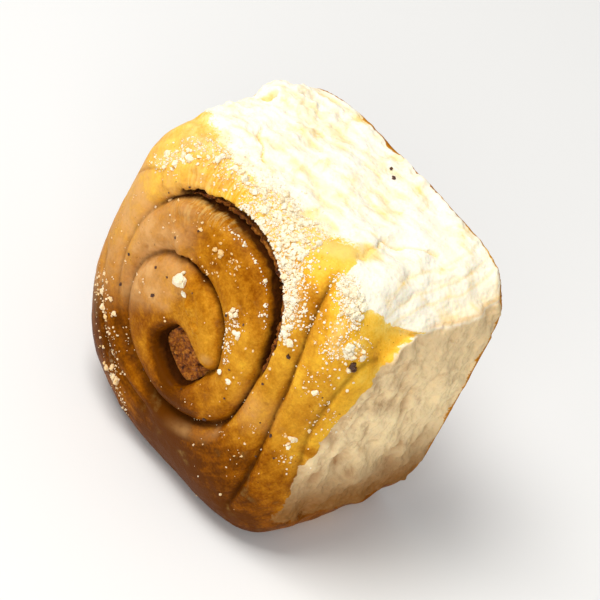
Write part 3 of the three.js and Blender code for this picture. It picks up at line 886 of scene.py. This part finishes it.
def dust(name, tree, kind, shapes, smallest, largest, lift, flatness, seed):
    """Scatter one kind of crumb over every patch, clear of the pit and the open gap."""
    room = 1.4 + 1.35 * largest
    random = np.random.default_rng(seed)
    wanted, warmth = [], []
    for patch in CRUMB_PATCHES:
        count = patch[kind]
        heaps = max(4, count // 9)
        middles = line_points(patch["line"], random.uniform(size=heaps))
        middles += random.normal(size=(heaps, 3)) * patch["spread"]
        spreads = random.uniform(0.4, 1.5, size=heaps)
        picked = random.integers(heaps, size=count)
        loose = random.uniform(size=count) < 0.45
        reach = np.where(loose, patch["spread"], spreads[picked])
        wanted.append(middles[picked] + random.normal(size=(count, 3)) * reach[:, None])
        warmth.append(np.full(count, patch["warm"]))
    places, normals = land(tree, np.concatenate(wanted))
    warmth = np.concatenate(warmth)
    x, y, z = places.T
    top = top_over(x, y) - crease_sink(x, y)
    radius, turned = swirl_place(x, y)
    over_gap = radius - crease_radius(turned + 360.0)
    width = gap_width(turned + 360.0)
    clear = ~((radius < DOME_RADIUS) & (top - z > 1.2)) & (pit_distance(x, y) > -1)
    clear &= y > -RESTING_DEPTH + 2
    clear &= (width < 0.3) | (over_gap < -1.2) | (over_gap > width + room)
    places, normals = places[clear], normals[clear]
    sizes = blend(smallest, largest, random.uniform(size=len(places)) ** 2.6)
    return scatter(name, shapes, places, normals, sizes, lift, flatness, random, warmth[clear])


def feed(tree, socket, value):
    """Link a socket, or set its plain value."""
    if isinstance(value, bpy.types.NodeSocket):
        tree.links.new(value, socket)
    else:
        socket.default_value = value


def add_node(tree, kind, inputs=None, **settings):
    made = tree.nodes.new(kind)
    for name, value in settings.items():
        setattr(made, name, value)
    for name, value in (inputs or {}).items():
        feed(tree, made.inputs[name], value)
    return made


def share_named(tree, name):
    return add_node(tree, "ShaderNodeAttribute", attribute_name=name).outputs["Fac"]


def place_named(tree, name):
    return add_node(tree, "ShaderNodeAttribute", attribute_name=name).outputs["Vector"]


def noise_share(tree, place, scale, detail=3.0, roughness=0.55, distortion=0.0):
    inputs = {"Vector": place, "Scale": scale, "Detail": detail, "Roughness": roughness,
              "Distortion": distortion}
    return add_node(tree, "ShaderNodeTexNoise", inputs).outputs["Fac"]


def reckon(tree, operation, first, second=0.0, third=0.0, clamp=False):
    made = add_node(tree, "ShaderNodeMath", operation=operation, use_clamp=clamp)
    for socket, value in zip(made.inputs, (first, second, third)):
        feed(tree, socket, value)
    return made.outputs[0]


def times(tree, first, second):
    return reckon(tree, "MULTIPLY", first, second)


def vary(tree, share, by, amount, clamp=False):
    """A share that noise from 0 to 1 moves up and down."""
    return reckon(tree, "MULTIPLY_ADD", reckon(tree, "SUBTRACT", by, 0.5), amount, share, clamp)


def spread(tree, value, start, end, low=0.0, high=1.0):
    """Map a range of values to another, smoothly and clamped."""
    inputs = {"Value": value, "From Min": start, "From Max": end, "To Min": low, "To Max": high}
    return add_node(tree, "ShaderNodeMapRange", inputs, interpolation_type="SMOOTHSTEP").outputs["Result"]


def mix(tree, share, first, second):
    made = add_node(tree, "ShaderNodeMix", data_type="RGBA")
    feed(tree, made.inputs["Factor"], share)
    feed(tree, made.inputs[6], first)
    feed(tree, made.inputs[7], second)
    return made.outputs[2]


def colour(red, green, blue):
    """A linear colour from display values of 0 to 255."""
    def linear(value):
        share = value / 255.0
        return share / 12.92 if share <= 0.04045 else ((share + 0.055) / 1.055) ** 2.4
    return (linear(red), linear(green), linear(blue), 1.0)


def cover(tree, under, share, strength, tone):
    """A colour with a tone over it, as strong as the share says."""
    return mix(tree, times(tree, share, strength), under, colour(*tone))


def colour_ramp(tree, share, stops):
    made = add_node(tree, "ShaderNodeValToRGB", {"Fac": share})
    elements = made.color_ramp.elements
    while len(elements) < len(stops):
        elements.new(0.5)
    for element, (position, tone) in zip(elements, stops):
        element.position = position
        element.color = colour(*tone)
    return made.outputs["Color"]


def new_material(name, **constants):
    """A material with its Principled shader; plain numbers are set on the shader's own sockets."""
    material = bpy.data.materials.new(name)
    material.use_nodes = True
    tree = material.node_tree
    shader = tree.nodes["Principled BSDF"]
    for socket, value in constants.items():
        shader.inputs[socket.replace("_", " ")].default_value = value
    place = add_node(tree, "ShaderNodeTexCoord").outputs["Object"]
    return material, tree, shader, place


def add_bump(tree, shader, height, strength):
    bump = add_node(tree, "ShaderNodeBump", {"Height": height, "Strength": strength, "Distance": 1.0})
    feed(tree, shader.inputs["Normal"], bump.outputs["Normal"])


def crumb_grain_group():
    """Grain of crumb and sugar: a mask of pores and a height for the bump."""
    tree = bpy.data.node_groups.new("crumb grain", "ShaderNodeTree")
    for name, side, kind in (("Place", "INPUT", "Vector"), ("Scale", "INPUT", "Float"),
                             ("Pores", "OUTPUT", "Float"), ("Height", "OUTPUT", "Float")):
        tree.interface.new_socket(name, in_out=side, socket_type="NodeSocket" + kind)
    given = tree.nodes.new("NodeGroupInput")
    result = tree.nodes.new("NodeGroupOutput")
    place, scale = given.outputs["Place"], given.outputs["Scale"]
    fine = noise_share(tree, place, scale, 4.0, 0.65, 0.4)
    cells = add_node(tree, "ShaderNodeTexVoronoi", {"Vector": place, "Scale": scale})
    pores = spread(tree, cells.outputs["Distance"], 0.12, 0.6)
    tree.links.new(reckon(tree, "SUBTRACT", 1.0, pores), result.inputs["Pores"])
    tree.links.new(reckon(tree, "MULTIPLY_ADD", pores, 0.45, fine), result.inputs["Height"])
    return tree


def grain(tree, group, place, scale):
    made = add_node(tree, "ShaderNodeGroup", node_tree=group)
    feed(tree, made.inputs["Place"], place)
    feed(tree, made.inputs["Scale"], scale)
    return made.outputs


# The crust's colours from pale to dark
CRUST_TONES = (
    (0.05, (255, 234, 160)), (0.22, (252, 208, 88)), (0.38, (242, 184, 52)), (0.52, (216, 152, 40)),
    (0.66, (186, 119, 20)), (0.8, (144, 80, 3)), (0.95, (94, 47, 1)),
)


def crust_tone(tree, place, blotches, pinpricks, washed):
    """The crust's colour with a painted sheen, and how much cinnamon paste, darkened by painted shade,
    stains it.
    """
    broad = noise_share(tree, place, 55.0, 3.0, 0.5, 0.6)
    speckle = noise_share(tree, place, 1300.0, 3.0, 0.65)
    # This share holds the baked colour with some painted shade
    baked = share_named(tree, "browning_and_shade")
    for by, amount in ((broad, 0.4), (blotches, 0.42), (speckle, 0.3)):
        baked = vary(tree, baked, by, amount)
    streaks = noise_share(tree, place_named(tree, "coil_place"), 0.4, 3.0, 0.55, 0.5)
    streaked = reckon(tree, "SUBTRACT", streaks, 0.5)
    streaked = times(tree, streaked, share_named(tree, "coiled"))
    crust = colour_ramp(tree, reckon(tree, "MULTIPLY_ADD", streaked, 0.26, baked), CRUST_TONES)
    # These break the painted sheen into patches
    clouded = spread(tree, broad, 0.36, 0.56, 0.5, 1.0)
    patchy = times(tree, spread(tree, blotches, 0.3, 0.65, 0.35, 0.85), clouded)
    pulled = noise_share(tree, place_named(tree, "tear_place"), 1.1, 3.0, 0.6, 0.3)
    specked = spread(tree, noise_share(tree, place, 90.0, 2.0, 0.5), 0.48, 0.66, 0.05, 0.7)
    strands = times(tree, spread(tree, pulled, 0.44, 0.62), share_named(tree, "near_tear"))
    pores = times(tree, spread(tree, pinpricks, 0.66, 0.73), specked)
    covers = (
        # The first cover is the painted sheen
        (times(tree, share_named(tree, "painted_sheen"), patchy), 1.0, (229, 174, 108)),
        (share_named(tree, "doughy"), 0.5, (206, 160, 98)),
        (strands, 0.8, (255, 232, 150)),
        (washed, 0.75, (250, 212, 122)),
        (share_named(tree, "cracked"), 0.6, (150, 88, 28)),
        (pores, 1.0, (104, 50, 12)),
    )
    for share, strength, tone in covers:
        crust = cover(tree, crust, share, strength, tone)
    ragged = noise_share(tree, place, 640.0, 4.0, 0.6)
    # The paste in the creases and on the walls of the gap and pit: cinnamon, darkened by painted shade
    paste = mix(tree, ragged, colour(30, 12, 3), colour(84, 42, 12))
    paste_and_shade = vary(tree, share_named(tree, "cinnamon"), ragged, 0.5, clamp=True)
    return mix(tree, paste_and_shade, crust, paste), paste_and_shade


def crumb_tone(tree, place, washed, pores):
    """The torn crumb's colour: pale on top, with painted shade on the side facing the viewer and in the
    hollows.
    """
    yellow_and_hollow_shade = spread(tree, noise_share(tree, place, 120.0, 4.0, 0.6, 0.8), 0.5, 0.75, 0.0, 0.6)
    hollow, layers = share_named(tree, "hollow"), share_named(tree, "layers")
    # The hollows add painted warm shade to the yellow
    for share, amount in ((hollow, 0.8), (layers, 0.5), (washed, 0.8)):
        yellow_and_hollow_shade = reckon(tree, "MULTIPLY_ADD", share, amount, yellow_and_hollow_shade, clamp=True)
    crumb = mix(tree, yellow_and_hollow_shade, colour(255, 248, 228), colour(251, 215, 132))
    # Painted shade on the torn side facing the viewer, darker toward its lower end
    painted_shade_beige = mix(tree, share_named(tree, "painted_shade_low"), colour(255, 228, 178), colour(142, 97, 50))
    shaded = cover(tree, painted_shade_beige, yellow_and_hollow_shade, 0.8, (172, 124, 80))
    crumb = mix(tree, share_named(tree, "painted_shade_side"), crumb, shaded)
    # Warm painted shade along the torn top's lower edge
    crumb = cover(tree, crumb, share_named(tree, "painted_edge_shade"), 0.47, (247, 208, 128))
    crumb = cover(tree, crumb, share_named(tree, "ridge_line"), 0.45, (224, 168, 84))
    return cover(tree, crumb, pores, 0.06, (226, 188, 130))


def dough_material(grain_group):
    material, tree, shader, place = new_material(
        "baked dough", Subsurface_Weight=0.14, Subsurface_Scale=0.003, Coat_Roughness=0.3,
        Specular_IOR_Level=0.03)
    shader.inputs["Subsurface Radius"].default_value = (1.0, 0.55, 0.25)
    shader.inputs["Specular Tint"].default_value = (1.0, 0.74, 0.42, 1.0)
    torn = share_named(tree, "torn")
    dusting = share_named(tree, "dusting")
    blotches = noise_share(tree, place, 210.0, 4.0, 0.6)
    pinpricks = noise_share(tree, place, 900.0, 2.0, 0.5)
    washed = spread(tree, vary(tree, share_named(tree, "valley"), blotches, 1.2), 0.1, 0.9)
    spongy = grain(tree, grain_group, place, 620.0)
    crust, paste_and_shade = crust_tone(tree, place, blotches, pinpricks, washed)
    crumb = crumb_tone(tree, place, washed, spongy["Pores"])
    broken = vary(tree, torn, noise_share(tree, place, 1100.0, 3.0, 0.6), 1.3)
    surface = mix(tree, spread(tree, broken, 0.3, 0.7), crust, crumb)
    sugary = spread(tree, reckon(tree, "MULTIPLY_ADD", pinpricks, 0.9, dusting), 1.0, 1.3)
    feed(tree, shader.inputs["Base Color"], cover(tree, surface, sugary, 0.2, (252, 230, 176)))
    dull = reckon(tree, "MAXIMUM", paste_and_shade, times(tree, dusting, 0.8))
    dull = reckon(tree, "MAXIMUM", torn, dull)
    roughness = spread(tree, reckon(tree, "MULTIPLY_ADD", blotches, 0.12, dull), 0.0, 1.05, 0.4, 0.92)
    feed(tree, shader.inputs["Roughness"], roughness)
    gloss = times(tree, reckon(tree, "SUBTRACT", 1.0, dull, clamp=True), 0.018)
    feed(tree, shader.inputs["Coat Weight"], gloss)
    wrinkles = noise_share(tree, place, 300.0, 6.0, 0.68, 0.6)
    uneven = add_node(tree, "ShaderNodeMix", data_type="FLOAT")
    feed(tree, uneven.inputs[0], dull)
    feed(tree, uneven.inputs[2], times(tree, wrinkles, 0.00034))
    feed(tree, uneven.inputs[3], times(tree, spongy["Height"], 0.00032))
    add_bump(tree, shader, uneven.outputs[0], 0.8)
    return material


def crumb_material(name, grain_group, pale, warm, roughness, scale, bump_height):
    """Crumbs, sugar or flecks: each lump has its own tint between two colours."""
    material, tree, shader, place = new_material(name, Subsurface_Weight=0.16, Subsurface_Scale=0.0016)
    shader.inputs["Subsurface Radius"].default_value = (1.0, 0.75, 0.45)
    tint = share_named(tree, "tint")
    parts = grain(tree, grain_group, place, scale)
    tone = vary(tree, tint, parts["Pores"], 0.35, clamp=True)
    feed(tree, shader.inputs["Base Color"], mix(tree, tone, colour(*pale), colour(*warm)))
    uneven = spread(tree, tint, 0.0, 1.0, roughness - 0.12, roughness + 0.1)
    feed(tree, shader.inputs["Roughness"], uneven)
    add_bump(tree, shader, times(tree, parts["Height"], bump_height), 0.7)
    return material


def filling_material(grain_group):
    material, tree, shader, place = new_material("cinnamon paste", Specular_IOR_Level=0.4)
    parts = grain(tree, grain_group, place, 800.0)
    clumps = noise_share(tree, place, 620.0, 5.0, 0.7)
    paste = colour_ramp(tree, clumps, (
        (0.34, (72, 32, 4)), (0.48, (160, 84, 12)), (0.6, (212, 130, 32)), (0.74, (236, 172, 78))))
    sparkle = spread(tree, parts["Pores"], 0.92, 0.99)
    feed(tree, shader.inputs["Base Color"], cover(tree, paste, sparkle, 0.25, (214, 160, 96)))
    feed(tree, shader.inputs["Roughness"], spread(tree, clumps, 0.3, 0.8, 0.5, 0.85))
    height = times(tree, reckon(tree, "ADD", clumps, parts["Height"]), 0.0009)
    add_bump(tree, shader, height, 0.9)
    return material


# The filling: a thin layer beside the crease, and a plug at the bottom of the pit
LAYER = {"from": -60.0, "to": 488.0, "thickness": 1.15, "bottom": 8.3, "recess": 1.4, "gap_recess": 3.4}
LAYER_CELLS = (330, 26)
PLUG_CELLS = (60, 60)
PLUG_DEPTH = 9.0
PLUG_CLEARANCE = 0.3
PLUG_RISE = 0.8


def flat_grid(name, cells):
    """A flat grid, and its places along and across, each from -1 to 1."""
    grid = add_shape(
        bpy.ops.mesh.primitive_grid_add, x_subdivisions=cells[0], y_subdivisions=cells[1], size=2.0)
    grid.name = name
    along, across, _ = np.array([vertex.co[:] for vertex in grid.data.vertices]).T
    return grid, along, across


def make_layer():
    """A band that is wound along the crease and thickened."""
    layer, u, v = flat_grid("cinnamon_filling", LAYER_CELLS)
    turn = blend(LAYER["from"], LAYER["to"], (u + 1) / 2)
    down = ((1 - v) / 2) ** 1.6
    c, s = direction(turn)
    radius = crease_radius(turn)
    x = SWIRL_CENTRE[0] + radius * c
    y = SWIRL_CENTRE[1] + radius * s
    opened = gap_width(turn) / GAP_WIDEST
    top = top_over(x, y) - crease_sink(x, y) - blend(LAYER["recess"], LAYER["gap_recess"], opened)
    z = blend(top, LAYER["bottom"], down)
    points = np.column_stack((x, y, z))
    rough = waves(points, 2.1, 3, 21) * ramp(z, 36.0, 50.0)
    points[:, 0] += 0.4 * rough * c
    points[:, 1] += 0.4 * rough * s
    points[:, 2] += 0.8 * waves(points, 1.7, 2, 22) * ramp(z, 48.0, 58.0)
    write_points(layer, points)
    thickness = LAYER["thickness"] * MILLIMETRE
    finish_with(layer, "SOLIDIFY", "layer's thickness", thickness=thickness, offset=0.0)
    return layer


def make_plug():
    """A rough plug of paste at the bottom of the pit."""
    plug, u, v = flat_grid("plug", PLUG_CELLS)
    edge = np.maximum(np.abs(u), np.abs(v))
    c, s = direction(angle_of(u, v))
    reach = (np.abs(c) ** PIT["power"] + np.abs(s) ** PIT["power"]) ** (-1 / PIT["power"]) * edge
    along = (PIT["along"] - PLUG_CLEARANCE) * reach * c
    across = (PIT["across"] - PLUG_CLEARANCE) * reach * s
    c, s = direction(PIT["turn"])
    x = PIT["x"] + along * c - across * s
    y = PIT["y"] + along * s + across * c
    points = np.column_stack((x, y, np.full_like(x, TOP_HEIGHT - PIT["depth"] + PLUG_RISE)))
    rough = 1.5 * waves(points, 3.4, 3, 23) + 0.5 * waves(points, 1.1, 3, 24)
    points[:, 2] += rough * ramp(1 - edge, 0.0, 0.2)
    write_points(plug, points)
    downward = {"value": (0, PLUG_DEPTH * MILLIMETRE, 0)}
    edit_all(plug, (bpy.ops.mesh.extrude_region_move, {"TRANSFORM_OT_translate": downward}),
             (bpy.ops.mesh.normals_make_consistent, {"inside": False}))
    return plug


def make_filling():
    layer = make_layer()
    plug = make_plug()
    choose(layer)
    plug.select_set(True)
    bpy.ops.object.join()
    edit_all(layer, (bpy.ops.mesh.quads_convert_to_tris, {}),
             (bpy.ops.mesh.normals_make_consistent, {"inside": False}))
    bpy.ops.object.shade_smooth()
    return layer


def dress(piece, material, node):
    piece.data.materials.clear()
    piece.data.materials.append(material)
    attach(piece, "root")
    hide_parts(node)


def make_floor():
    floor = add_shape(bpy.ops.mesh.primitive_plane_add, size=6.0, location=(0, 0, 0))
    floor.name = "floor"
    material, tree, shader, place = new_material("pale floor", Roughness=0.9, Specular_IOR_Level=0.2)
    soft = noise_share(tree, place, 3.0, 2.0)
    tone = mix(tree, soft, (0.86, 0.86, 0.85, 1.0), (0.88, 0.88, 0.87, 1.0))
    feed(tree, shader.inputs["Base Color"], tone)
    floor.data.materials.append(material)


# The photograph's view: the axes of the camera, its distance, and where the bun sits in it
VIEW_RIGHT = Vector((0.628, 0.689, 0.361)).normalized()
VIEW_UP = Vector((-0.674, 0.251, 0.695)).normalized()
VIEW_BACK = Vector((0.388, -0.680, 0.622)).normalized()
VIEW_DISTANCE = 0.9
PHOTO_FOCAL = 1731.0
ENLARGED = 1.8
FRAME_WIDTH = 600.0
SENSOR = 36.0
MIDDLE_IN_PHOTO = (231.0, 237.0)
BUN_IN_PHOTO = (194.5, 245.0)


def make_camera():
    data = bpy.data.cameras.new("camera")
    data.sensor_width = SENSOR
    data.sensor_fit = "HORIZONTAL"
    data.lens = PHOTO_FOCAL * ENLARGED / FRAME_WIDTH * SENSOR
    data.dof.use_dof = False
    data.clip_start = 0.05
    data.clip_end = 30.0
    camera = add_object("camera", data)
    place = Vector(MIDDLE) * MILLIMETRE + VIEW_BACK * VIEW_DISTANCE
    aside = (BUN_IN_PHOTO[0] - MIDDLE_IN_PHOTO[0]) / PHOTO_FOCAL
    below = (MIDDLE_IN_PHOTO[1] - BUN_IN_PHOTO[1]) / PHOTO_FOCAL
    back = (VIEW_BACK - VIEW_RIGHT * aside - VIEW_UP * below).normalized()
    right = VIEW_UP.cross(back).normalized()
    up = back.cross(right)
    camera.matrix_world = Matrix.Translation(place) @ Matrix((right, up, back)).transposed().to_4x4()
    bpy.context.scene.camera = camera


def make_light(name, place, target, size, power, tone=(1.0, 1.0, 1.0)):
    data = bpy.data.lights.new(name, "AREA")
    data.shape = "SQUARE"
    data.size = size
    data.energy = power
    data.color = tone
    light = add_object(name, data)
    light.location = place
    light.rotation_euler = (Vector(target) - Vector(place)).to_track_quat("-Z", "Y").to_euler()


def make_lights():
    target = (0.0, 0.0, 0.05)
    make_light("window above left", (-0.42, -0.46, 1.38), target, size=0.7, power=17.5,
               tone=(1.0, 0.985, 0.96))
    make_light("soft fill", (0.75, -1.2, 0.75), target, size=1.0, power=8.5)
    world = bpy.data.worlds.new("studio")
    world.use_nodes = True
    background = world.node_tree.nodes["Background"]
    background.inputs["Color"].default_value = (1.0, 1.0, 1.0, 1.0)
    background.inputs["Strength"].default_value = 0.36
    bpy.context.scene.world = world
    bpy.context.scene.view_settings.view_transform = "Standard"


make_camera()
make_lights()
make_floor()

grain_group = crumb_grain_group()
dough = make_dough()
dress(dough, dough_material(grain_group), "dough")

filling = make_filling()
dress(filling, filling_material(grain_group), "filling")

tree = surface_tree(dough)
lumps = [ball_shape(2, seed, 0.62) for seed in (31, 32, 33, 34, 35)]
coarse = dust("coarse_crumbs", tree, "coarse", lumps, smallest=0.35, largest=1.05, lift=0.35,
              flatness=0.85, seed=41)
pale_crumbs = crumb_material("pale crumbs", grain_group, (255, 246, 216), (232, 182, 108),
                             roughness=0.8, scale=1500.0, bump_height=0.0002)
dress(coarse, pale_crumbs, "dough")
big_lump = ball_shape(divisions=3, seed=39, unevenness=0.5)
big = set_down("big_crumbs", tree, [big_lump], BIG_CRUMBS, lift=0.3, flatness=0.55, seed=43)
dress(big, pale_crumbs, "dough")
dark = set_down("dark_granules", tree, lumps, DARK_GRANULES, lift=0.3, flatness=0.7, seed=44)
burnt_cinnamon = crumb_material("burnt cinnamon", grain_group, (66, 34, 14), (112, 66, 34),
                                roughness=0.6, scale=1500.0, bump_height=0.0002)
dress(dark, burnt_cinnamon, "dough")
grains = [ball_shape(1, seed, 0.35) for seed in (36, 37, 38)]
sugar = dust("sugar_grains", tree, "fine", grains, smallest=0.14, largest=0.42, lift=0.3,
             flatness=0.9, seed=42)
sugar_crystals = crumb_material("sugar", grain_group, (255, 247, 224), (236, 188, 112),
                                roughness=0.55, scale=2200.0, bump_height=0.0001)
dress(sugar, sugar_crystals, "dough")
